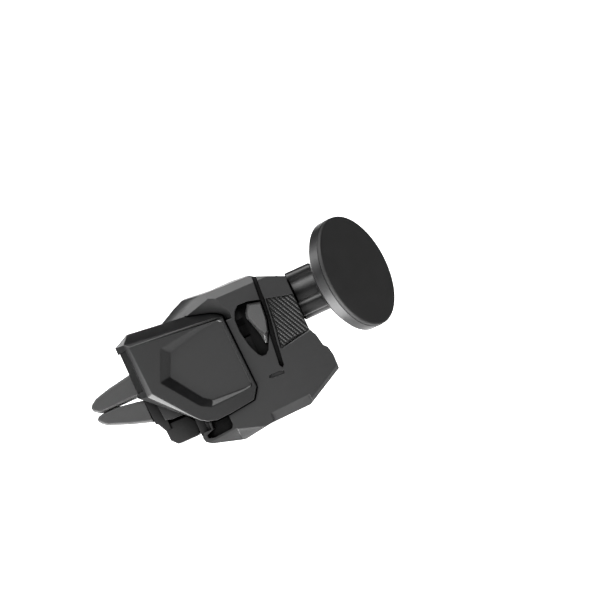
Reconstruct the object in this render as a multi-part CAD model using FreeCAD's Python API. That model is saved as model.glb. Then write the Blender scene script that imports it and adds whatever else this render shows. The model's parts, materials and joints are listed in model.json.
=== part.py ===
# Air vent phone holder: a clip with two padded jaws for a vent blade, a faceted
# two-half housing with side keys, and a magnetic head on a ball joint.
#
# Frame (mm): origin = the point where the two jaws pinch the vent blade,
# +Y = into the vent, +Z = up, +X = to the right seen from the driver's seat.
import FreeCAD, Part
import math
import os
from FreeCAD import Vector as V

os.makedirs("parts", exist_ok=True)

# ------------------------------------------------------------------ driving sizes
BODY_HALF_W = 13.0          # half width of the housing
WALL = 2.0                  # housing wall
COVER_OUT = 16.0            # half width over the side covers
COVER_IN = 8.0              # inner plane of the side covers
COVER_LEAN = 1.6            # how much the cover's face leans in towards the front
COVER_FLOOR = 14.1          # outer plane of the cover's recess floor
COVER_WALL = 1.7
CHEEK_IN = 6.6              # inner plane of the cheeks that carry the jaw pins
JAW_HALF_W = 6.2
PIN_R = 1.5
PIN_BORE_R = 1.55
PIV_Y, PIV_UP, PIV_LO = -17.5, 4.5, -5.5     # jaw pivots
KEY_TRAVEL = 2.5
BALL_Y, BALL_Z = -69.0, 6.6  # ball centre
BALL_R = 4.25
SEAT_R0, SEAT_R1 = 4.29, 4.65
COLLET_R = 5.5
NUT_BORE_R = 5.55
NUT_R = 6.4
NECK_R = 2.0
HEAD_YAW = 33.5             # degrees the head is turned towards -X at rest
HEAD_R = 17.0               # head radius
HEAD_FRONT = 16.0           # ball centre to the front of the pad
FRONT_Y = -62.3             # front face of the housing


# ------------------------------------------------------------------ helpers
def prism(poly, x0, x1):
    """polygon of (y, z) extruded from x0 to x1"""
    pts = [V(x0, y, z) for y, z in poly]
    f = Part.Face(Part.makePolygon(pts + [pts[0]]))
    return f.extrude(V(x1 - x0, 0, 0))


def convex(points):
    """closed solid of the convex hull of the given points"""
    P = [V(*p) for p in points]
    c = V(0, 0, 0)
    for p in P:
        c = c + p
    c = c * (1.0 / len(P))
    planes = []
    n = len(P)
    for i in range(n):
        for j in range(i + 1, n):
            for k in range(j + 1, n):
                nn = (P[j] - P[i]).cross(P[k] - P[i])
                if nn.Length < 1e-6:
                    continue
                nn.normalize()
                if (c - P[i]).dot(nn) > 0:
                    nn = nn * -1
                d = nn.dot(P[i])
                if any((q.dot(nn) - d) > 1e-7 for q in P):
                    continue
                if any((nn - m).Length < 1e-7 and abs(d - e) < 1e-6 for m, e in planes):
                    continue
                planes.append((nn, d))
    faces = []
    for nn, d in planes:
        on = [q for q in P if abs(q.dot(nn) - d) < 1e-6]
        m = V(0, 0, 0)
        for q in on:
            m = m + q
        m = m * (1.0 / len(on))
        u = (on[0] - m)
        u.normalize()
        w = nn.cross(u)
        on.sort(key=lambda q: math.atan2((q - m).dot(w), (q - m).dot(u)))
        keep = list(on)
        changed = True
        while changed:
            changed = False
            for a in range(len(keep)):
                p0, p1, p2 = keep[a - 1], keep[a], keep[(a + 1) % len(keep)]
                if (p1 - p0).cross(p2 - p1).dot(nn) < 1e-7:
                    keep.pop(a)
                    changed = True
                    break
        faces.append(Part.Face(Part.makePolygon(keep + [keep[0]])))
    sh = Part.makeShell(faces)
    s = Part.makeSolid(sh)
    if s.Volume < 0:
        s.reverse()
    return s


def halfspace(p, n, size=200.0):
    """a big block on the n side of the plane through p"""
    n = V(*n)
    n.normalize()
    b = Part.makeBox(size, size, size, V(-size / 2, -size / 2, 0))
    rot = FreeCAD.Rotation(V(0, 0, 1), n)
    b.Placement = FreeCAD.Placement(V(*p), rot)
    return b


def cut3(shape, a, b, c, away, y0=-150.0, y1=150.0, z0=-150.0):
    """cut off what lies beyond the plane through a, b, c on the side of 'away', between y0 and y1"""
    A, B, C, W = V(*a), V(*b), V(*c), V(*away)
    n = (B - A).cross(C - A)
    n.normalize()
    if (W - A).dot(n) < 0:
        n = n * -1
    h = halfspace(a, (n.x, n.y, n.z))
    if y0 > -100 or y1 < 100 or z0 > -100:
        h = h.common(Part.makeBox(200, y1 - y0, 300, V(-100, y0, z0)))
    return shape.cut(h)


def cyl(p, axis, r, h):
    return Part.makeCylinder(r, h, V(*p), V(*axis))


def revolve(profile, place):
    """closed (r, z) profile turned about z, then placed"""
    pts = [V(r, 0, z) for r, z in profile]
    f = Part.Face(Part.makePolygon(pts + [pts[0]]))
    s = f.revolve(V(0, 0, 0), V(0, 0, 1), 360)
    s = Part.Solid(s) if s.ShapeType != "Solid" else s
    if s.Volume < 0:
        s.reverse()
    s.Placement = place
    return s


def mirror(s):
    return s.mirror(V(0, 0, 0), V(1, 0, 0))


def clean(s):
    s = s.removeSplitter()
    if s.ShapeType == "Compound":
        sol = s.Solids
        if len(sol) == 1:
            return sol[0]
    return s


def matrix_place(origin, ex, ey, ez):
    m = FreeCAD.Matrix(ex[0], ey[0], ez[0], origin[0],
                       ex[1], ey[1], ez[1], origin[1],
                       ex[2], ey[2], ez[2], origin[2],
                       0, 0, 0, 1)
    return FreeCAD.Placement(m)


NODES = {}


def put(name, shape, solids=1):
    shape = clean(shape)
    n = len(shape.Solids)
    ok = shape.isValid()
    print("%-24s solids %d valid %s vol %.1f" % (name, n, ok, shape.Volume))
    if n != solids:
        print("   !! expected", solids)
    NODES[name] = shape


# ball joint frame: z points out of the housing (-Y), x = +X, y = +Z
POST = matrix_place((0, BALL_Y, BALL_Z), (1, 0, 0), (0, 0, 1), (0, -1, 0))
# head frame: z out of the pad's face, x = sideways, y = up
cy, sy = math.cos(math.radians(HEAD_YAW)), math.sin(math.radians(HEAD_YAW))
HEAD = matrix_place((0, BALL_Y, BALL_Z), (cy, -sy, 0), (0, 0, 1), (-sy, -cy, 0))

# ------------------------------------------------------------------ housing half
OUT = [(-23.0, 16.0), (-29.0, 18.9), (-33.3, 20.5), (-35.7, 20.1), (-41.0, 19.2), (-47.4, 19.4),
       (-52.3, 18.7), (-54.1, 17.3), (-62.6, 13.4), (-62.3, 12.0), (-62.3, -3.1),
       (-63.4, -5.4), (-64.0, -8.8), (-65.0, -9.9), (-65.5, -12.5), (-65.4, -16.7),
       (-53.8, -22.7), (-41.1, -22.9), (-32.6, -24.0), (-23.7, -21.2), (-22.2, -20.0),
       (-21.9, -18.6), (-22.8, -17.4), (-25.2, -17.4), (-25.2, -15.2), (-23.0, -13.0)]
# side cover outline at its outer face and at its inner plane
CO_A = [(-13.7, 13.3), (-30.6, 11.7), (-38.8, 11.0), (-41.3, 10.2), (-41.9, -11.7),
        (-39.7, -14.8), (-32.0, -15.6), (-27.7, -15.7), (-25.3, -15.0), (-23.5, -13.8),
        (-14.2, -1.3)]


def face_x(y):
    """the cover's outer face leans: it stands proud at the rear and runs flush at the front"""
    return -COVER_OUT + COVER_LEAN * (-13.7 - y) / 27.5


def cover_outer(grow=0.0, xin=COVER_IN):
    """outer solid of the left side cover, a faceted box on the housing's side"""
    g = grow
    pts = []
    X1 = -xin
    for y, z in CO_A:
        if y > -15:
            continue
        y2 = y - (g if y < -35 else 0)
        pts.append((face_x(y2) - g, y2, z + (g if z > 0 else -g)))
    # rear edge of the outer face, and the slanted rear end behind it
    pts += [(face_x(-13.7 + g) - g, -13.7 + g, 13.3 + g), (face_x(-14.2 + g) - g, -14.2 + g, -1.3 - g)]
    pts += [(-14.7, -12.5 + g, 14.6 + g), (-14.7, -12.6 + g, -1.7 - g)]
    pts += [(X1, -9.4 + g, 15.3 + g), (X1, -9.5 + g, -0.6 - g)]
    pts += [(-9.6, -14.0, 17.0 + g), (X1, -14.0, 17.5 + g), (X1, -19.4, 16.7 + g), (X1, -30.8, 15.3 + g),
            (X1, -38.2, 14.2 + g), (X1, -41.6 - g, 11.6 + g)]
    for y, z in CO_A[4:]:
        pts.append((X1, y - (g if y < -35 else 0), z - g))
    return convex(pts)


cov_env = cover_outer(0.25, xin=COVER_IN)

body = prism(OUT, -BODY_HALF_W, 0)
# cheeks that reach back between the side covers and carry the jaw pins
CHEEK = [(-24.0, 13.2), (-13.4, 12.2), (-12.2, 9.0), (-12.2, 1.4), (-13.4, -1.2), (-14.0, -9.4),
         (-16.0, -10.0), (-22.0, -10.2), (-24.0, -12.0)]
body = body.fuse(prism(CHEEK, -COVER_IN, -CHEEK_IN))
body = clean(body)

# outer bevels: top; the rear ones end behind the side cover's upper edge
TOP_Z0 = 13.6
W = BODY_HALF_W
body = cut3(body, (-W, -42, 15.9), (-W, -52, 15.7), (-11.0, -47, 18.1), (-30, -47, 40))
body = cut3(body, (-11.0, -52, 18.05), (-9.8, -38.1, 18.9), (-4.0, -47, 19.42), (-30, -47, 40))
body = cut3(body, (-W, -41.1, 17.0), (-9.8, -33.8, 15.1), (-9.8, -38.1, 18.9), (-30, -36, 40), z0=TOP_Z0)
body = cut3(body, (-9.8, -38.1, 18.9), (-8.6, -30.4, 16.9), (-4.0, -33.3, 20.5), (-30, -36, 40), z0=TOP_Z0)
body = cut3(body, (-8.41, -36.59, 19.55), (-6.14, -30.22, 17.14), (-0.8, -23.15, 16.6), (-30, -25, 40), z0=TOP_Z0)
# bottom bevels
body = cut3(body, (-W, -31.1, -20.1), (-W, -39.6, -22.95), (-9.6, -32.6, -24.0), (-30, -35, -60), -39.8, -31.8)
body = cut3(body, (-W, -31.1, -20.1), (-W, -24.0, -20.6), (-9.6, -32.6, -24.0), (-30, -22, -60), -31.9, -10.0)
# thin bevel along the lower front edge
body = cut3(body, (-W, -64.6, -16.0), (-W, -54.5, -21.3), (-11.9, -65.4, -16.7), (-30, -70, -60), -70.0, -54.0)

# flank that draws in above the side cover
for ya, yb, za in ((-43.5, -34.0, 9.0), (-34.0, -10.0, TOP_Z0)):
    body = cut3(body, (-W, -41.3, 16.8), (-W, -42.8, 13.1), (-9.3, -33.6, 14.8), (-30, -36, 14), y0=ya, y1=yb, z0=za)
# room for the side cover
body = body.cut(cov_env)
body = clean(body)
if len(body.Solids) > 1:
    print("housing pieces", [round(s.Volume, 1) for s in body.Solids])
    body = max(body.Solids, key=lambda s: s.Volume)

# ------------------------------------------------------------------ hollow
CAV_F = [(-43.6, 13.6), (-52.6, 13.6), (-60.3, 10.8), (-60.3, -4.2), (-62.4, -9.0), (-63.4, -15.6),
         (-53.4, -20.2), (-43.6, -20.4)]
LOW = [(-44.0, -19.6), (-33.0, -21.4), (-26.2, -19.2), (-25.0, -17.2), (-10.0, -17.2)]
CAV_R = [(-22.0, 12.0), (-27.5, 14.9), (-33.4, 16.8), (-44.0, 15.6)] + LOW + [(-10.0, 12.0)]
# lower roof at the sides, under the slanted top facets
CAV_S = [(-22.0, 11.6), (-29.5, 12.2), (-32.0, 15.0), (-33.4, 16.8), (-44.0, 15.6)] + LOW + [(-10.0, 11.6)]
body = body.cut(prism(CAV_F, -W + WALL, 1))
body = body.cut(prism(CAV_R, -3.6, 1))
body = body.cut(prism(CAV_S, -CHEEK_IN, -3.5))
# screens behind the rear part of the key openings
body = body.fuse(prism([(-47.4, 13.8), (-43.0, 13.8), (-43.0, 8.1), (-47.4, 8.1)], -6.6, -5.4))
body = body.fuse(prism([(-47.4, 2.5), (-43.0, 2.5), (-43.0, -8.0), (-47.4, -8.0)], -6.6, -5.4))
# stop rib for the key spring, and floor under the front cavity's socket post
body = body.fuse(prism([(-24.9, 8.9), (-23.4, 8.9), (-23.4, 13.0), (-24.9, 14.2)], -CHEEK_IN - 0.2, 0))

# ------------------------------------------------------------------ side details
SLIT = [(-54.8, 18.5), (-53.7, 18.5), (-52.9, 10.0), (-52.2, 5.0), (-51.4, 0.5), (-50.3, -8.9), (-50.9, -9.9), (-51.5, -9.3),
        (-52.6, -1.5), (-53.5, 4.0), (-54.2, 9.5)]
body = body.cut(prism(SLIT, -W - 1, -W + 1.75))
LEDGE = [(-46.1, -10.9), (-46.6, -10.3), (-49.6, -10.3), (-50.9, -10.8), (-50.6, -11.6), (-47.0, -11.3)]
body = body.cut(prism(LEDGE, -W - 1, -W + 0.5))
# opening in which the key moves
HOLE = [(-53.2, 10.3), (-49.2, 11.5), (-46.5, 11.6), (-45.1, 10.4), (-44.1, 8.1), (-44.0, 4.4),
        (-44.9, -0.5), (-46.1, -3.5), (-46.9, -4.5), (-48.1, -4.6), (-49.3, -3.6), (-50.2, -1.6), (-51.2, 0.2),
        (-51.9, 1.5), (-52.7, 5.0)]
body = body.cut(prism(HOLE, -W - 1, -W + WALL + 0.5))
# seat of the grip panel
PANEL = [(-54.6, 10.0), (-60.8, 8.3), (-62.3, 8.1), (-62.3, -3.1), (-52.6, -4.7), (-53.7, 1.5), (-54.5, 8.3)]
PANEL_T = 1.0
PAN_CUT = [(-54.6, 10.0), (-60.8, 8.3), (-63.5, 7.94), (-63.5, -2.902), (-52.6, -4.7), (-53.7, 1.5), (-54.5, 8.3)]
body = body.cut(prism(PAN_CUT, -W - 1, -W + PANEL_T))
# chamfer along the panel's lower line
CH = []
for y, z in ((-62.8, -3.02), (-52.9, -4.65)):
    for x, k in ((-13.2, -0.62), (-13.2, 0.12), (-12.45, 0.12)):
        CH.append((x, y + 0.163 * k, z + 0.987 * k))
body = body.cut(convex(CH))
# pocket in the lower edge
body = cut3(body, (-W, -43.9, -20.2), (-W, -53.5, -19.9), (-10.3, -48.0, -22.85), (-30, -48, -60), -54.6, -42.4)
# dark channel under the cover
HOOK = [(-21.9, -9.8), (-26.5, -9.8), (-26.5, -18.8), (-22.0, -18.8), (-21.7, -17.8)]
body = body.fuse(prism(HOOK, -COVER_IN, -CHEEK_IN - 0.1))
CHAN = [(-26.0, -15.0), (-31.2, -15.0), (-31.3, -18.6), (-30.6, -19.6), (-25.0, -19.9), (-23.4, -19.4),
        (-23.4, -18.4), (-25.6, -17.6)]
body = body.cut(prism(CHAN, -W - 1, -9.2))
rib = prism([(-24.2, -14.4), (-25.5, -15.1), (-26.0, -17.7), (-24.5, -17.7)], -11.8, -COVER_IN + 0.2).cut(cov_env)
body = body.fuse(rib)

# hole for the socket post in the front wall
body = body.cut(cyl((0, -70, BALL_Z), (0, 1, 0), 5.6, 11.5))
# pin bores in the cheeks
for pz in (PIV_UP, PIV_LO):
    body = body.cut(cyl((-20, PIV_Y, pz), (1, 0, 0), PIN_R, 20))

# screws that pull the halves together, heads under the grip panel and the covers
SCREWS = [(-55.8, -1.7), (-39.6, 11.4), (-38.5, -12.6), (-29.0, -14.6)]
SCREW_R, SCREW_HEAD_R = 1.0, 1.9


def boss(y, z, xo, xi, r=2.4):
    return cyl((xo, y, z), (1, 0, 0), r, xi - xo)


left = body
for i, (y, z) in enumerate(SCREWS):
    xo = -W + PANEL_T + 0.4 if i == 0 else -COVER_IN + 0.2
    left = left.fuse(boss(y, z, xo, 0))
body_both = clean(left)


def screw_cut(s, y, z, xo, through_head, side):
    # side -1: left half takes the thread; side +1: right half takes the head
    if side < 0:
        return s.cut(cyl((-6.0, y, z), (1, 0, 0), SCREW_R, 7.0))
    m = s.cut(cyl((-0.5, y, z), (1, 0, 0), SCREW_R + 0.15, 20))
    m = m.cut(cyl((through_head, y, z), (1, 0, 0), SCREW_HEAD_R + 0.1, 12))
    return m


left_half = body_both
right_half = mirror(body_both)
for i, (y, z) in enumerate(SCREWS):
    hx = W - PANEL_T - 1.2 if i == 0 else COVER_IN - 1.6
    left_half = screw_cut(left_half, y, z, 0, 0, -1)
    right_half = screw_cut(right_half, y, z, 0, hx, 1)
put("left_body_shell", left_half)
put("right_body_shell", right_half)

scr = []
for i, (y, z) in enumerate(SCREWS):
    hx = W - PANEL_T - 1.2 if i == 0 else COVER_IN - 1.6
    s = cyl((-5.6, y, z), (1, 0, 0), SCREW_R, hx + 5.6).fuse(cyl((hx, y, z), (1, 0, 0), SCREW_HEAD_R, 1.1))
    s = s.cut(Part.makeBox(0.8, 2.4, 0.5, V(hx + 0.6, y - 1.2, z - 0.25)))
    s = s.cut(Part.makeBox(0.8, 0.5, 2.4, V(hx + 0.6, y - 0.25, z - 1.2)))
    scr.append(clean(s))
put("body_screws", Part.makeCompound(scr), len(SCREWS))

# grip panels
pan = prism(PANEL, -W + 0.15, -W + PANEL_T)
put("left_grip_panel", pan)
put("right_grip_panel", mirror(pan))

# ------------------------------------------------------------------ side covers
cov = cover_outer(0.0, COVER_IN)
# pentagon recess: mouth outline and floor outline, matched point by point
R_OUT = [(-21.7, 9.4), (-17.6, 0.5), (-25.1, -10.2), (-27.9, -11.9), (-40.5, -11.1), (-41.1, -10.2),
         (-40.6, 9.2), (-39.6, 10.3), (-31.8, 10.6)]
R_FLO = [(-23.6, 7.4), (-20.6, 0.9), (-26.7, -8.3), (-28.9, -10.0), (-40.4, -10.9), (-40.8, -10.1),
         (-40.3, 9.1), (-39.5, 9.9), (-34.5, 9.7)]
rec = []
for (fy, fz), (my, mz) in zip(R_FLO, R_OUT):
    ex_y, ex_z = my + (my - fy) * 0.18, mz + (mz - fz) * 0.18
    rec.append((-COVER_FLOOR, fy, fz))
    rec.append((face_x(ex_y) - 0.35, ex_y, ex_z))
cov = cov.cut(convex(rec))
# hollow inside
INN = [(-15.6, 10.9), (-30.6, 9.7), (-39.7, 9.0), (-40.2, -11.2), (-38.9, -13.0), (-28.0, -13.8),
       (-25.9, -13.1), (-24.4, -12.2), (-16.3, -1.6)]
cov = cov.cut(prism(INN, -12.4, -COVER_IN + 1))
# bosses that take the cover screws
COVER_SCREWS = [(-36.5, 5.2), (-31.0, -9.6)]
for y, z in COVER_SCREWS:
    cov = cov.fuse(cyl((-12.6, y, z), (1, 0, 0), 2.1, 4.6))
    cov = cov.cut(cyl((-12.0, y, z), (1, 0, 0), 0.9, 6))
# seat of the soft end pad in the slanted rear end
EX, EY = 0.9076, 0.42
PAD_Z0, PAD_Z1 = 0.5, 13.1


def end_plate(x_near, x_far, t0, t1, z0, z1):
    """plate parallel to the slanted end, between depths t0 and t1 inwards"""
    def pt(x, t):
        y = -12.55 + (x + 14.7) * (3.1 / 6.7)
        return (x + EY * t, y - EX * t)
    a, b, c, d = pt(x_near, t0), pt(x_far, t0), pt(x_far, t1), pt(x_near, t1)
    pts = [V(p[0], p[1], z0) for p in (a, b, c, d)]
    return Part.Face(Part.makePolygon(pts + [pts[0]])).extrude(V(0, 0, z1 - z0))


cov = cov.cut(end_plate(-13.8, -6.0, -1.0, 1.1, PAD_Z0, PAD_Z1))
pad = end_plate(-13.75, -8.4, 0.35, 1.1, PAD_Z0 + 0.05, PAD_Z1 - 0.05)
pad = pad.common(Part.makeBox(40, 60, 60, V(-40 - COVER_IN, -40, -30)))
put("left_side_cover", cov)
put("right_side_cover", mirror(cov))
put("left_end_pad", pad)
put("right_end_pad", mirror(pad))
cs = []
for sgn in (-1, 1):
    for y, z in COVER_SCREWS:
        x0 = -5.7
        s = cyl((-11.4, y, z), (1, 0, 0), 0.9, 5.7).fuse(cyl((-6.6, y, z), (1, 0, 0), 1.7, 0.9))
        s = s.cut(Part.makeBox(0.6, 2.0, 0.45, V(-6.2, y - 1.0, z - 0.22)))
        s = s.cut(Part.makeBox(0.6, 0.45, 2.0, V(-6.2, y - 0.22, z - 1.0)))
        s = clean(s)
        cs.append(s if sgn < 0 else mirror(s))
put("cover_screws", Part.makeCompound(cs), 4)
for side in ("left_body_shell", "right_body_shell"):
    sh = NODES[side]
    sg = 1 if side.startswith("left") else -1
    for y, z in COVER_SCREWS:
        c = cyl((-14.0 if sg > 0 else 4.0, y, z), (1, 0, 0), 1.0, 10.0)
        sh = sh.cut(c)
    put(side, sh)

# ------------------------------------------------------------------ side keys and their yoke
K0 = [(-52.9, 9.8), (-49.1, 10.8), (-47.6, 8.6), (-47.3, 7.2), (-48.2, 4.4), (-49.0, 1.4), (-49.2, -1.6),
      (-50.0, -1.5), (-51.4, 1.0), (-52.5, 5.0)]
K1 = [(-52.6, 9.3), (-49.5, 10.1), (-48.3, 8.4), (-48.0, 7.2), (-48.8, 4.4), (-49.8, 1.6), (-50.0, 1.2),
      (-50.6, 1.0), (-51.2, 1.6), (-52.2, 5.0)]


def loft(polyA, xa, polyB, xb):
    wa = Part.makePolygon([V(xa, y, z) for y, z in polyA] + [V(xa, *polyA[0])])
    wb = Part.makePolygon([V(xb, y, z) for y, z in polyB] + [V(xb, *polyB[0])])
    s = Part.makeLoft([wa, wb], True, True)
    if s.Volume < 0:
        s.reverse()
    return s


key = loft(K0, -12.9, K1, -14.7)
key = key.fuse(prism(K0, -12.9, -8.0))
put("left_release_key", key)
put("right_release_key", mirror(key))

yoke = prism([(-53.0, 7.4), (-48.4, 7.4), (-48.4, 3.2), (-53.0, 3.2)], -7.2, 7.2)
for sx in (-8.0, 7.0):
    yoke = yoke.fuse(prism([(-53.1, 12.2), (-46.4, 12.2), (-46.4, -5.6), (-53.1, -5.6)], sx, sx + 1.0))
yoke = yoke.fuse(prism([(-52.0, 6.4), (-35.0, 6.4), (-35.0, 3.2), (-52.0, 3.2)], -2.6, 2.6))
# rib that stiffens the yoke between the two keys
yoke = yoke.fuse(prism([(-50.0, 8.9), (-43.6, 8.9), (-43.6, 1.6), (-50.0, 1.6)], -1.0, 1.0))
FORK = [(-36.2, 8.4), (-35.0, 13.4), (-34.0, 13.4), (-34.0, 8.4), (-27.2, 8.4), (-27.2, 7.0), (-31.0, 3.7), (-34.0, 3.7),
        (-34.0, -4.7), (-31.0, -4.7), (-27.2, -8.0), (-27.2, -9.4), (-36.2, -9.4)]
yoke = yoke.fuse(prism(FORK, -4.6, 4.6))
# spigot that centres the spring
yoke = yoke.fuse(cyl((0, -34.1, 11.2), (0, 1, 0), 1.2, 2.0))
put("key_yoke", yoke)


def coil(r, wire, length, turns, place):
    """round wire spring along z"""
    pitch = (length - wire) / turns
    h = Part.makeHelix(pitch, pitch * turns, r)
    c = Part.makeCircle(wire / 2.0, V(r, 0, 0), V(0, 1, pitch / (2 * math.pi * r)))
    s = Part.Wire([h]).makePipeShell([Part.Wire([c])], True, True)
    s.translate(V(0, 0, wire / 2.0))
    s.Placement = place.multiply(s.Placement)
    if s.ShapeType != "Solid" and s.Solids:
        s = s.Solids[0]
    return s


put("key_spring", coil(1.9, 0.5, 8.9, 7, matrix_place((0, -33.95, 11.2), (1, 0, 0), (0, 0, -1), (0, 1, 0))))

# ------------------------------------------------------------------ jaws
HW = 4.4        # half width of the forward arms


def jaw_body(finger, hub_z, arm, extra=None):
    s = prism(finger, -JAW_HALF_W + 1.0, JAW_HALF_W - 1.0)
    s = s.fuse(cyl((-JAW_HALF_W, PIV_Y, hub_z), (1, 0, 0), 3.1, 2 * JAW_HALF_W))
    s = s.fuse(prism(arm, -HW, HW))
    if extra:
        for e in extra:
            s = s.fuse(e)
    s = s.cut(cyl((-20, PIV_Y, hub_z), (1, 0, 0), PIN_BORE_R, 40))
    return s


up_f = [(-17.5, 7.5), (-13.2, 7.2), (-10.4, 6.2), (-3.0, 4.6), (1.6, 3.2), (2.4, 2.4), (1.8, 1.5), (-3.0, 1.3),
        (-10.4, 1.3), (-17.5, 1.5)]
up_arm = [(-17.5, 7.4), (-28.0, 5.4), (-28.6, 4.8), (-28.6, 3.6), (-28.0, 2.9), (-17.5, 1.8)]
up_flange = prism([(-10.6, 7.4), (-10.6, 0.1), (-12.2, 0.1), (-13.6, 1.4), (-17.5, 1.6), (-17.5, 7.4), (-13.0, 8.0), (-12.2, 7.9)],
                  -JAW_HALF_W, JAW_HALF_W)
put("upper_jaw", jaw_body(up_f, PIV_UP, up_arm, [up_flange]))
lo_f = [(-17.5, -2.6), (-13.2, -2.7), (-10.4, -2.8), (-8.0, -2.4), (-2.6, -1.3), (1.4, -1.2), (2.2, -1.8), (1.2, -2.9),
        (-4.0, -5.1), (-10.4, -7.2), (-13.2, -8.0), (-17.5, -8.4)]
lo_arm = [(-17.5, -2.8), (-28.0, -3.9), (-28.6, -4.6), (-28.6, -5.8), (-28.0, -6.4), (-17.5, -8.4)]
lo_flange = prism([(-10.6, -1.5), (-10.9, -9.4), (-11.5, -9.6), (-12.8, -12.4), (-14.6, -12.4), (-14.6, -3.0), (-13.0, -1.5)],
                  -JAW_HALF_W, JAW_HALF_W)
lo_tab = prism([(-14.1, -10.7), (-20.0, -10.7), (-22.1, -13.4), (-21.4, -16.8), (-20.6, -17.3), (-14.5, -17.2),
                (-12.9, -15.4), (-12.8, -12.3)], -JAW_HALF_W + 0.2, JAW_HALF_W - 0.2)
lo_web = prism([(-14.2, -8.0), (-20.2, -8.0), (-20.4, -11.4), (-14.2, -11.4)], -3.0, 3.0)
put("lower_jaw", jaw_body(lo_f, PIV_LO, lo_arm, [lo_flange, lo_tab, lo_web]))

UP_S = [(-10.5, 7.0), (-8.8, 6.7), (-3.1, 5.8), (-0.5, 5.2), (1.8, 4.6), (3.4, 3.6), (4.1, 2.6), (3.9, 1.5), (2.9, 0.6),
        (2.0, 0.15), (-2.6, 0.15), (-10.5, 0.15)]
LO_S = [(-10.5, -1.6), (-8.4, -1.1), (-2.6, -0.15), (2.0, -0.15), (3.2, -0.4), (3.9, -1.2), (3.7, -1.9), (3.1, -2.8),
        (1.8, -3.9), (-4.2, -6.3), (-9.8, -8.2), (-10.5, -8.4)]


def sleeve(poly, core):
    s = prism(poly, -JAW_HALF_W, JAW_HALF_W)
    # rounded long edges
    try:
        es = [e for e in s.Edges if abs(e.Vertexes[0].X - e.Vertexes[-1].X) < 1e-6
              and max(v.Y for v in e.Vertexes) > -10.4]
        s2 = s.makeFillet(0.9, es)
        if s2.isValid() and s2.Volume > 0:
            s = s2
    except Exception as ex:
        print("sleeve fillet skipped", ex)
    return s.cut(core)


put("upper_jaw_sleeve", sleeve(UP_S, prism(up_f, -JAW_HALF_W + 1.0, JAW_HALF_W - 1.0)))
put("lower_jaw_sleeve", sleeve(LO_S, prism(lo_f, -JAW_HALF_W + 1.0, JAW_HALF_W - 1.0)))
pins = [cyl((-7.8, PIV_Y, z), (1, 0, 0), PIN_R, 15.6) for z in (PIV_UP, PIV_LO)]
put("jaw_pins", Part.makeCompound(pins), 2)
put("jaw_spring", coil(2.3, 0.6, 6.0, 3.5, matrix_place((0, -25.2, -3.45), (1, 0, 0), (0, 1, 0), (0, 0, 1))))

# ------------------------------------------------------------------ ball joint
# post: revolved collet, flange held between the housing halves
a0 = 0.0


def sphere_arc(R, z0, z1, n=10):
    pts = []
    for i in range(n + 1):
        z = z0 + (z1 - z0) * i / n
        pts.append((math.sqrt(max(R * R - z * z, 0)), z))
    return pts


post = revolve([(0, -11.0), (7.6, -11.0), (7.6, -9.2), (COLLET_R, -9.2), (COLLET_R, 0.5), (5.0, 1.6), (0, 1.6)],
               FreeCAD.Placement())
cavity = Part.makeSphere(SEAT_R1 + 0.05).common(Part.makeBox(20, 20, 20, V(-10, -10, -20)))
post = post.cut(cavity)
post = post.cut(Part.makeSphere(BALL_R + 0.05))
slots = None
for ang in (45, 135):
    b = Part.makeBox(14, 0.8, 6.2, V(-7, -0.4, -4.0))
    b.rotate(V(0, 0, 0), V(0, 0, 1), ang)
    post = post.cut(b)
post.Placement = POST
put("socket_post", post)
for side in ("left_body_shell", "right_body_shell"):
    sh = NODES[side]
    # groove that holds the post's flange
    grv = cyl((0, BALL_Y + 9.15, BALL_Z), (0, 1, 0), 7.65, 1.9)
    keep = cyl((0, BALL_Y + 9.15 - 0.6, BALL_Z), (0, 1, 0), 9.0, 3.4)
    half = Part.makeBox(20, 60, 60, V(-20 if side.startswith("left") else 0, -90, -30))
    sh = sh.fuse(keep.common(half)).cut(grv).cut(cyl((0, -75, BALL_Z), (0, 1, 0), 5.52, 22))
    put(side, sh)

nut = revolve([(NUT_BORE_R, -6.4), (NUT_R - 0.4, -6.4), (NUT_R, -6.0), (NUT_R, 2.0), (NUT_R - 0.9, 2.8), (4.95, 2.8), (4.4, 2.2),
               (4.4, 1.9), (5.05, 1.75), (NUT_BORE_R, 0.75)], FreeCAD.Placement())
lobes = None
for k in range(3):
    an = math.radians(90 + 120 * k)
    c = Part.makeCylinder(2.3, 7.6, V(6.2 * math.cos(an), 6.2 * math.sin(an), -6.4))
    c2 = Part.makeCone(2.3, 1.7, 0.6, V(6.2 * math.cos(an), 6.2 * math.sin(an), 1.2))
    lobes = c.fuse(c2) if lobes is None else lobes.fuse(c).fuse(c2)
lobes = lobes.cut(Part.makeCylinder(6.0, 20, V(0, 0, -10)))
nut = nut.fuse(lobes)
nut.Placement = POST
put("lock_nut", nut)

seat = Part.makeSphere(SEAT_R1).cut(Part.makeSphere(SEAT_R0))
seat = seat.common(Part.makeBox(20, 20, 20, V(-10, -10, -22.9)))
seat.Placement = HEAD
put("ball_seat", seat)

stud = Part.makeSphere(BALL_R).fuse(Part.makeCylinder(NECK_R, 8.2, V(0, 0, 3.0)))
stud = stud.fuse(Part.makeCylinder(5.0, 1.3, V(0, 0, 9.75)))
stud.Placement = HEAD
put("ball_stud", stud)

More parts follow.
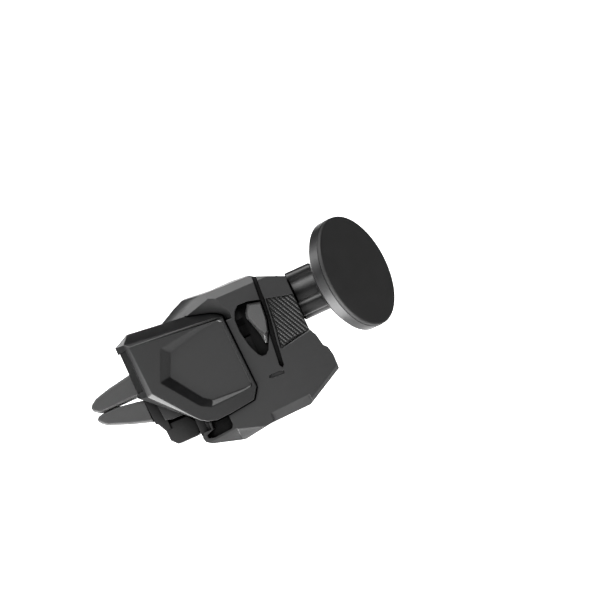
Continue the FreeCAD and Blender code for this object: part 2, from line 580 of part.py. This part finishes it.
# ------------------------------------------------------------------ magnetic head
R = HEAD_R
shell = revolve([(2.06, 8.0), (6.6, 8.0), (9.0, 8.7), (15.2, 10.2), (R, 11.8), (R, 14.7), (R - 1.5, 14.7), (R - 1.5, 12.2),
                 (13.6, 11.2), (9.0, 9.9), (6.4, 9.7), (2.06, 9.7)], FreeCAD.Placement())
HS = [(11.4 * math.cos(math.radians(a)), 11.4 * math.sin(math.radians(a))) for a in (30, 150, 270)]
for x, y in HS:
    shell = shell.fuse(Part.makeCylinder(1.9, 1.2, V(x, y, 10.3)))
    shell = shell.cut(Part.makeCylinder(0.8, 1.6, V(x, y, 10.1)))
shell.Placement = HEAD
put("head_back_shell", shell)
plate = Part.makeCylinder(13.7, 1.0, V(0, 0, 11.5))
for x, y in HS:
    plate = plate.cut(Part.makeCylinder(1.1, 3, V(x, y, 11)))
MAG = [(7.4 * math.cos(math.radians(a)), 7.4 * math.sin(math.radians(a))) for a in (90, 210, 330)]
plate.Placement = HEAD
put("steel_plate", plate)
carrier = Part.makeCylinder(R - 1.6, 2.2, V(0, 0, 12.5))
for x, y in MAG:
    carrier = carrier.cut(Part.makeCylinder(3.55, 4, V(x, y, 12)))
for x, y in HS:
    carrier = carrier.cut(Part.makeCylinder(1.1, 4, V(x, y, 12)))
    carrier = carrier.cut(Part.makeCylinder(1.9, 2, V(x, y, 13.6)))
carrier.Placement = HEAD
put("magnet_carrier", carrier)
mags = []
for x, y in MAG:
    m = Part.makeCylinder(3.5, 2.2, V(x, y, 12.5))
    m.Placement = HEAD
    mags.append(m)
put("magnets", Part.makeCompound(mags), 3)
hsc = []
for x, y in HS:
    m = Part.makeCylinder(0.8, 3.2, V(x, y, 10.4)).fuse(Part.makeCylinder(1.7, 0.9, V(x, y, 13.6)))
    m = m.cut(Part.makeBox(2.0, 0.45, 0.6, V(x - 1.0, y - 0.22, 14.1))).cut(Part.makeBox(0.45, 2.0, 0.6, V(x - 0.22, y - 1.0, 14.1)))
    m = clean(m)
    m.Placement = HEAD
    hsc.append(m)
put("head_screws", Part.makeCompound(hsc), 3)
front = Part.makeCylinder(R - 0.1, HEAD_FRONT - 14.7, V(0, 0, 14.7))
front = front.makeFillet(0.5, [e for e in front.Edges if abs(e.BoundBox.ZMin - HEAD_FRONT) < 1e-6 and abs(e.BoundBox.ZMax - HEAD_FRONT) < 1e-6])
front.Placement = HEAD
put("front_pad", front)

for name, s in NODES.items():
    s.exportStep("parts/%s.step" % name)
print(len(NODES), "nodes")
bb = Part.makeCompound(list(NODES.values())).BoundBox
print("box", [round(v, 2) for v in (bb.XMin, bb.XMax, bb.YMin, bb.YMax, bb.ZMin, bb.ZMax)])
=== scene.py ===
import math
import json

import bpy
import bmesh
from mathutils import Vector, Matrix

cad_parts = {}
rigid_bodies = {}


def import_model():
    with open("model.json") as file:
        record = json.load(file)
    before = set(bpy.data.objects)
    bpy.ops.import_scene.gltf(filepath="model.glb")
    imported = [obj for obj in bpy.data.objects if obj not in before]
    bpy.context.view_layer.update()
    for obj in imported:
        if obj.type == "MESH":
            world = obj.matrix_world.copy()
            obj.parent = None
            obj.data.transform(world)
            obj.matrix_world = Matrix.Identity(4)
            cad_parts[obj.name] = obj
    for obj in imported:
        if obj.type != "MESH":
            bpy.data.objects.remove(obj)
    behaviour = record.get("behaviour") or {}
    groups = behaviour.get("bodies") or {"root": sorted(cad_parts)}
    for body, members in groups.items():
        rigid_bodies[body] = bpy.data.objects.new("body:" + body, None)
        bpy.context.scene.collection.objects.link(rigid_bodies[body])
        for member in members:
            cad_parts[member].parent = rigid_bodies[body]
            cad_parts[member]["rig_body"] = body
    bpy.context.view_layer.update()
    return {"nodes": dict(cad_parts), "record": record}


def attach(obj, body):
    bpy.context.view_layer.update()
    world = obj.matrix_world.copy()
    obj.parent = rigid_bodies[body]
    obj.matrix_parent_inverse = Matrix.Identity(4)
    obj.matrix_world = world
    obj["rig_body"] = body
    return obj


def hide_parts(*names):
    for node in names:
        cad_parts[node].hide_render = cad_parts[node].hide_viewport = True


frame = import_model()
N = frame["nodes"]
mm = 0.001


# ------------------------------------------------------------------ materials
def new_mat(name):
    m = bpy.data.materials.new(name)
    m.use_nodes = True
    nt = m.node_tree
    nt.nodes.clear()
    out = nt.nodes.new("ShaderNodeOutputMaterial")
    b = nt.nodes.new("ShaderNodeBsdfPrincipled")
    nt.links.new(b.outputs[0], out.inputs[0])
    return m, nt, b


def coords(nt):
    return nt.nodes.new("ShaderNodeTexCoord").outputs["Object"]


def noise(nt, vec, scale, detail=2.0, rough=0.5):
    n = nt.nodes.new("ShaderNodeTexNoise")
    n.inputs["Scale"].default_value = scale
    n.inputs["Detail"].default_value = detail
    n.inputs["Roughness"].default_value = rough
    nt.links.new(vec, n.inputs["Vector"])
    return n.outputs[0]


def ramp(nt, fac, a, b, lo=0.3, hi=0.7):
    r = nt.nodes.new("ShaderNodeMapRange")
    r.inputs["From Min"].default_value = lo
    r.inputs["From Max"].default_value = hi
    r.inputs["To Min"].default_value = a
    r.inputs["To Max"].default_value = b
    nt.links.new(fac, r.inputs["Value"])
    return r.outputs[0]


def mix_col(nt, fac, c1, c2):
    m = nt.nodes.new("ShaderNodeMix")
    m.data_type = "RGBA"
    nt.links.new(fac, m.inputs["Factor"])
    m.inputs[6].default_value = (*c1, 1)
    m.inputs[7].default_value = (*c2, 1)
    return m.outputs[2]


def soft_edge(nt, radius):
    """the small radius that a mould leaves on every edge"""
    e = nt.nodes.new("ShaderNodeBevel")
    e.samples = 6
    e.inputs["Radius"].default_value = radius * mm
    return e.outputs[0]


def painted_cavity_shade(nt, dist=5.0, lo=0.25, hi=0.85):
    """mask for painted shade, from an AO reading: 0 in deep gaps and pockets, where shade is painted, 1 on open faces
    """
    a = nt.nodes.new("ShaderNodeAmbientOcclusion")
    a.samples = 8
    a.inputs["Distance"].default_value = dist * mm
    return ramp(nt, a.outputs["AO"], 0.0, 1.0, lo, hi)


def times(nt, a, b):
    m = nt.nodes.new("ShaderNodeMath")
    m.operation = "MULTIPLY"
    nt.links.new(a, m.inputs[0])
    if isinstance(b, float):
        m.inputs[1].default_value = b
    else:
        nt.links.new(b, m.inputs[1])
    return m.outputs[0]


def bump(nt, height, strength, dist, normal=None):
    b = nt.nodes.new("ShaderNodeBump")
    b.inputs["Strength"].default_value = strength
    b.inputs["Distance"].default_value = dist
    nt.links.new(height, b.inputs["Height"])
    if normal is not None:
        nt.links.new(normal, b.inputs["Normal"])
    return b.outputs[0]


def plastic(name, c1, c2, r1, r2, grain=5200, grain_h=0.012, spec=0.5, patch=260, edge=0.25, painted_shade_ao=(5.0, 0.25, 0.85)):
    """moulded plastic: fine spark texture, slight wear in colour and gloss, and painted shade that lowers the colour
    and the gloss in gaps and pockets
    """
    m, nt, b = new_mat(name)
    v = coords(nt)
    big = noise(nt, v, patch, 4, 0.6)
    fine = noise(nt, v, grain, 3, 0.65)
    # painted shade: in gaps and pockets the base colour falls towards 0.3 of c1
    painted_shade_mask = painted_cavity_shade(nt, *painted_shade_ao)
    painted_shade_color = tuple(x * 0.3 for x in c1)
    tone = mix_col(nt, ramp(nt, big, 0, 1), c1, c2)
    shade = nt.nodes.new("ShaderNodeMix")
    shade.data_type = "RGBA"
    nt.links.new(painted_shade_mask, shade.inputs["Factor"])
    shade.inputs[6].default_value = (*painted_shade_color, 1)
    nt.links.new(tone, shade.inputs[7])
    nt.links.new(shade.outputs[2], b.inputs["Base Color"])
    nt.links.new(ramp(nt, big, r1, r2), b.inputs["Roughness"])
    # painted shade on the gloss: the specular level falls in gaps and pockets
    nt.links.new(times(nt, painted_shade_mask, spec), b.inputs["Specular IOR Level"])
    base = soft_edge(nt, edge) if edge else None
    nt.links.new(bump(nt, fine, 0.5, grain_h * mm, base), b.inputs["Normal"])
    return m


def rubber(name, c1, c2, r1, r2, spec=0.35, sheen=0.0):
    m, nt, b = new_mat(name)
    v = coords(nt)
    big = noise(nt, v, 180, 4, 0.6)
    fine = noise(nt, v, 7000, 2, 0.6)
    nt.links.new(mix_col(nt, ramp(nt, big, 0, 1), c1, c2), b.inputs["Base Color"])
    nt.links.new(ramp(nt, big, r1, r2), b.inputs["Roughness"])
    b.inputs["Specular IOR Level"].default_value = spec
    if sheen:
        b.inputs["Sheen Weight"].default_value = sheen
        b.inputs["Sheen Roughness"].default_value = 0.5
    nt.links.new(bump(nt, fine, 0.4, 0.012 * mm), b.inputs["Normal"])
    return m


def metal(name, c1, c2, r1, r2, scale=(1, 1, 1), grain=2500):
    m, nt, b = new_mat(name)
    mp = nt.nodes.new("ShaderNodeMapping")
    mp.inputs["Scale"].default_value = scale
    nt.links.new(coords(nt), mp.inputs["Vector"])
    v = mp.outputs[0]
    fine = noise(nt, v, grain, 3, 0.6)
    big = noise(nt, v, 300, 3, 0.5)
    nt.links.new(mix_col(nt, ramp(nt, big, 0, 1), c1, c2), b.inputs["Base Color"])
    nt.links.new(ramp(nt, fine, r1, r2), b.inputs["Roughness"])
    b.inputs["Metallic"].default_value = 1.0
    nt.links.new(bump(nt, fine, 0.3, 0.004 * mm), b.inputs["Normal"])
    return m


def g(x, d=0.0):
    return (x, x, x * (1 + d))


MAT = {
    # the last tuple of a plastic call sets its painted shade in gaps and pockets: AO distance in mm and the ramp's low
    # and high ends; cover and jaw plastics take a stronger painted shade
    "housing_plastic": plastic("housing_plastic", g(0.009, 0.03), g(0.012, 0.03), 0.31, 0.37, edge=0.3),
    "cover_plastic": plastic("cover_plastic", g(0.006, 0.03), g(0.009, 0.03), 0.31, 0.36, edge=0.0, painted_shade_ao=(4.0, 0.42, 0.98)),
    "panel_plastic": plastic("panel_plastic", g(0.012), g(0.016), 0.30, 0.36, edge=0.0),
    "key_plastic": plastic("key_plastic", g(0.040), g(0.046), 0.30, 0.34, spec=0.7, edge=0.15),
    "jaw_plastic": plastic("jaw_plastic", g(0.006), g(0.009), 0.34, 0.40, spec=0.4, painted_shade_ao=(8.0, 0.35, 1.0)),
    "jaw_rubber": rubber("jaw_rubber", g(0.036), g(0.043), 0.46, 0.54, 0.45),
    "pad_rubber": rubber("pad_rubber", g(0.004), g(0.006), 0.5, 0.6, 0.15),
    "head_rubber": rubber("head_rubber", g(0.018), g(0.024), 0.50, 0.60, 0.35),
    "head_plastic": plastic("head_plastic", g(0.010, 0.03), g(0.014, 0.03), 0.32, 0.38),
    "nut_plastic": plastic("nut_plastic", g(0.006), g(0.009), 0.30, 0.38),
    "joint_nylon": plastic("joint_nylon", g(0.006), g(0.009), 0.32, 0.40),
    "seat_nylon": plastic("seat_nylon", (0.50, 0.50, 0.46), (0.56, 0.56, 0.52), 0.35, 0.45),
    "yoke_nylon": plastic("yoke_nylon", g(0.005), g(0.008), 0.45, 0.55, spec=0.3, edge=0.0),
    "carrier_plastic": plastic("carrier_plastic", g(0.010), g(0.014), 0.36, 0.42),
    "stud_metal": metal("stud_metal", g(0.28), g(0.34), 0.22, 0.34, (1, 1, 1), 3000),
    "steel_pin": metal("steel_pin", g(0.58), g(0.66), 0.16, 0.28, (0.15, 1, 1), 4000),
    "spring_steel": metal("spring_steel", g(0.50), g(0.58), 0.25, 0.38),
    "zinc_screw": metal("zinc_screw", (0.50, 0.51, 0.53), (0.58, 0.59, 0.60), 0.28, 0.42),
    "plate_steel": metal("plate_steel", g(0.50), g(0.58), 0.30, 0.45),
    "magnet_nickel": metal("magnet_nickel", (0.70, 0.69, 0.66), (0.76, 0.75, 0.72), 0.10, 0.20),
}
SLOT = {s["node"]: s["material_slot"] for s in frame["record"]["subparts"]}
for name, o in N.items():
    o.data.materials.clear()
    o.data.materials.append(MAT[SLOT[name]])


# ------------------------------------------------------------------ moulded copies
def body_name(node):
    return N[node]["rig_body"]


def sharp_smooth(me, angle):
    """smooth faces, sharp where the surface folds by more than angle"""
    bm = bmesh.new()
    bm.from_mesh(me)
    for f in bm.faces:
        f.smooth = True
    for e in bm.edges:
        a = e.calc_face_angle(None)
        e.smooth = a is not None and a < angle
    bm.to_mesh(me)
    bm.free()


def moulded(node, width, pick=None, angle=14.0, segs=2, min_len=0.0, smooth=24.0):
    """a copy of a CAD node whose outer edges are rounded by width mm, as a mould leaves them"""
    src = N[node]
    bm = bmesh.new()
    bm.from_mesh(src.data)
    bmesh.ops.remove_doubles(bm, verts=bm.verts, dist=2e-6)
    bmesh.ops.dissolve_limit(bm, angle_limit=math.radians(0.6), use_dissolve_boundaries=False,
                             verts=bm.verts, edges=bm.edges, delimit=set())
    bm.normal_update()
    chosen = []
    for e in bm.edges:
        if len(e.link_faces) != 2:
            continue
        a = e.calc_face_angle(0)
        if a < math.radians(angle) or e.calc_length() < min_len * mm:
            continue
        if pick is not None and not pick(e.verts[0].co * 1000, e.verts[1].co * 1000, e):
            continue
        chosen.append(e)
    if chosen and width > 0:
        bmesh.ops.bevel(bm, geom=chosen, offset=width * mm, offset_type="OFFSET", segments=segs,
                        profile=0.5, affect="EDGES", clamp_overlap=False, loop_slide=True)
    bmesh.ops.remove_doubles(bm, verts=bm.verts, dist=1e-6)
    me = bpy.data.meshes.new(node + "_moulded")
    bm.to_mesh(me)
    bm.free()
    sharp_smooth(me, math.radians(smooth))
    o = bpy.data.objects.new(node + "_moulded", me)
    bpy.context.scene.collection.objects.link(o)
    me.materials.append(MAT[SLOT[node]])
    wn = o.modifiers.new("wn", "WEIGHTED_NORMAL")
    wn.keep_sharp = True
    wn.weight = 100
    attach(o, body_name(node))
    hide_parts(node)
    print("%-26s edges %4d faces %d" % (node, len(chosen), len(me.polygons)))
    return o


def outer(limit):
    return lambda a, b, e: abs(a.x) > limit and abs(b.x) > limit


for side in ("left", "right"):
    moulded(side + "_side_cover", 0.28, outer(8.05), 10, 3)
    moulded(side + "_body_shell", 0.0)
    moulded(side + "_release_key", 0.2, outer(11.0), 8, 2)
    moulded(side + "_end_pad", 0.0)
for n in ("upper_jaw", "lower_jaw"):
    moulded(n, 0.25, None, 18, 2)
for n in ("upper_jaw_sleeve", "lower_jaw_sleeve"):
    moulded(n, 0.0, None, smooth=40)
for n in ("lock_nut", "socket_post", "ball_stud", "ball_seat", "steel_plate", "magnet_carrier",
          "magnets", "head_screws", "front_pad", "body_screws", "cover_screws", "jaw_pins", "key_yoke"):
    moulded(n, 0.0, None, smooth=32)


# ------------------------------------------------------------------ woven grip panels
def grip_panel(side):
    node = side + "_grip_panel"
    sg = -1 if side == "left" else 1
    L = [(-54.6, 10.0), (-60.8, 8.3), (-62.3, 8.1), (-62.3, -3.1), (-52.6, -4.7)]   # front and lower line
    Rr = [(-54.6, 10.0), (-54.5, 8.3), (-53.7, 1.5), (-52.6, -4.7)]

    def at(line, z):
        ys = []
        for (y0, z0), (y1, z1) in zip(line[:-1], line[1:]):
            if min(z0, z1) - 1e-9 <= z <= max(z0, z1) + 1e-9 and abs(z1 - z0) > 1e-9:
                ys.append(y0 + (y1 - y0) * (z - z0) / (z1 - z0))
        return ys

    rows, cols = 132, 88
    top, bot = 10.0, -4.7
    grid = []
    for i in range(rows + 1):
        z = top + (bot - top) * i / rows
        yl = min(at(L, z) or [-54.6])
        yr = max(at(Rr, z) or [-54.6])
        grid.append([(yl + (yr - yl) * j / cols, z) for j in range(cols + 1)])

    def height(y, z):
        # ribs run down and a little forward; each is crossed by short strands, like a weave
        s = (y * 0.90 - z * 0.44)
        t = (y * 0.44 + z * 0.90)
        k = s / 0.98
        rib = 0.5 + 0.5 * math.cos(2 * math.pi * k)
        rib = rib ** 0.6
        strand = 0.5 + 0.5 * math.cos(2 * math.pi * (t / 0.62 + 0.5 * round(k)))
        return 0.26 * rib * (0.72 + 0.28 * strand)

    bm = bmesh.new()
    fr, bk = [], []
    for i, row in enumerate(grid):
        a, b = [], []
        for j, (y, z) in enumerate(row):
            rim = min(1.0, min(i, rows - i) / 3.0, min(j, cols - j) / 3.0)
            x = 12.58 + height(y, z) * rim
            a.append(bm.verts.new((sg * x * mm, y * mm, z * mm)))
            if i in (0, rows) or j in (0, cols):
                b.append(bm.verts.new((sg * 12.0 * mm, y * mm, z * mm)))
            else:
                b.append(None)
        fr.append(a)
        bk.append(b)
    for i in range(rows):
        for j in range(cols):
            f = [fr[i][j], fr[i][j + 1], fr[i + 1][j + 1], fr[i + 1][j]]
            bm.faces.new(f if sg > 0 else f[::-1])
    ring_f = fr[0][:-1] + [fr[i][cols] for i in range(rows)] + fr[rows][:0:-1] + [fr[i][0] for i in range(rows, 0, -1)]
    ring_b = bk[0][:-1] + [bk[i][cols] for i in range(rows)] + bk[rows][:0:-1] + [bk[i][0] for i in range(rows, 0, -1)]
    n = len(ring_f)
    for k in range(n):
        f = [ring_f[k], ring_b[k], ring_b[(k + 1) % n], ring_f[(k + 1) % n]]
        bm.faces.new(f if sg > 0 else f[::-1])
    bm.faces.new(ring_b[::-1] if sg > 0 else ring_b)
    bmesh.ops.remove_doubles(bm, verts=bm.verts, dist=1e-7)
    bmesh.ops.recalc_face_normals(bm, faces=bm.faces)
    for f in bm.faces:
        f.smooth = True
    me = bpy.data.meshes.new(node + "_weave")
    bm.to_mesh(me)
    bm.free()
    sharp_smooth(me, math.radians(50))
    me.materials.append(MAT[SLOT[node]])
    o = bpy.data.objects.new(node + "_weave", me)
    bpy.context.scene.collection.objects.link(o)
    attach(o, body_name(node))
    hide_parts(node)


grip_panel("left")
grip_panel("right")

# ------------------------------------------------------------------ stage, light and camera
def stage_plane(name, size, loc, rot, mat):
    bpy.ops.mesh.primitive_plane_add(size=1, location=loc, rotation=rot)
    o = bpy.context.object
    o.name = name
    o.scale = (size[0], size[1], 1)
    o.data.materials.append(mat)
    return o


fm, nt, b = new_mat("studio_floor")
v = coords(nt)
nt.links.new(mix_col(nt, ramp(nt, noise(nt, v, 3, 3), 0, 1), (0.86, 0.86, 0.86), (0.90, 0.90, 0.90)), b.inputs["Base Color"])
b.inputs["Roughness"].default_value = 0.8
b.inputs["Emission Color"].default_value = (1, 1, 1, 1)
b.inputs["Emission Strength"].default_value = 0.6
stage_plane("floor", (6.0, 6.0), (0, -0.04, -0.22), (0, 0, 0), fm)

bd, nt, b = new_mat("studio_backdrop")
v = coords(nt)
nt.links.new(mix_col(nt, ramp(nt, noise(nt, v, 3, 3), 0, 1), (0.9, 0.9, 0.9), (0.92, 0.92, 0.92)), b.inputs["Base Color"])
b.inputs["Emission Color"].default_value = (1, 1, 1, 1)
b.inputs["Emission Strength"].default_value = 1.0
stage_plane("backdrop", (0.62, 0.62), (0.55, -0.03, 0.03), (0, math.radians(-90), 0), bd)


def area(name, loc, target, size, watts):
    d = bpy.data.lights.new(name, "AREA")
    d.shape = "RECTANGLE"
    d.size, d.size_y = size
    d.energy = watts
    o = bpy.data.objects.new(name, d)
    bpy.context.scene.collection.objects.link(o)
    o.location = loc
    o.rotation_euler = (Vector(target) - Vector(loc)).to_track_quat("-Z", "Y").to_euler()
    return o


C = (0, -0.035, 0.0)
def box_light(name, loc, size, radiance, target=C):
    area(name, loc, target, size, radiance * math.pi * size[0] * size[1])


box_light("overhead", (-0.20, 0.07, 0.58), (0.42, 0.50), 6.0)
box_light("upper_rear", (0.0, 0.40, 0.45), (0.26, 0.26), 6.0)
box_light("rear_left", (-0.16, 0.60, -0.06), (0.24, 0.40), 4.5)
box_light("camera_side", (-0.66, 0.09, 0.03), (0.40, 0.36), 1.7)
box_light("low", (-0.02, 0.10, -0.20), (0.28, 0.30), 11.0)

w = bpy.data.worlds.new("studio")
bpy.context.scene.world = w
w.use_nodes = True
bg = w.node_tree.nodes["Background"]
bg.inputs["Color"].default_value = (1, 1, 1, 1)
# a white surround for the camera, a dim one for the part
path = w.node_tree.nodes.new("ShaderNodeLightPath")
w.node_tree.links.new(ramp(w.node_tree, path.outputs["Is Camera Ray"], 0.06, 1.0, 0.0, 1.0), bg.inputs["Strength"])

cam_d = bpy.data.cameras.new("cam")
cam = bpy.data.objects.new("cam", cam_d)
bpy.context.scene.collection.objects.link(cam)
bpy.context.scene.camera = cam
right = Vector((0.002000, -0.908467, -0.417962))
up = Vector((-0.057416, -0.417379, 0.906917))
back = right.cross(up)
m = Matrix((right, up, back)).transposed().to_4x4()
m.translation = Vector((-0.569558, -0.050961, -0.024041))
cam.matrix_world = m
cam_d.sensor_width = 36
cam_d.lens = 117.48
cam_d.clip_start, cam_d.clip_end = 0.01, 20

sc = bpy.context.scene
sc.view_settings.view_transform = "Standard"
sc.view_settings.look = "None"
sc.view_settings.exposure = 0
sc.view_settings.gamma = 1
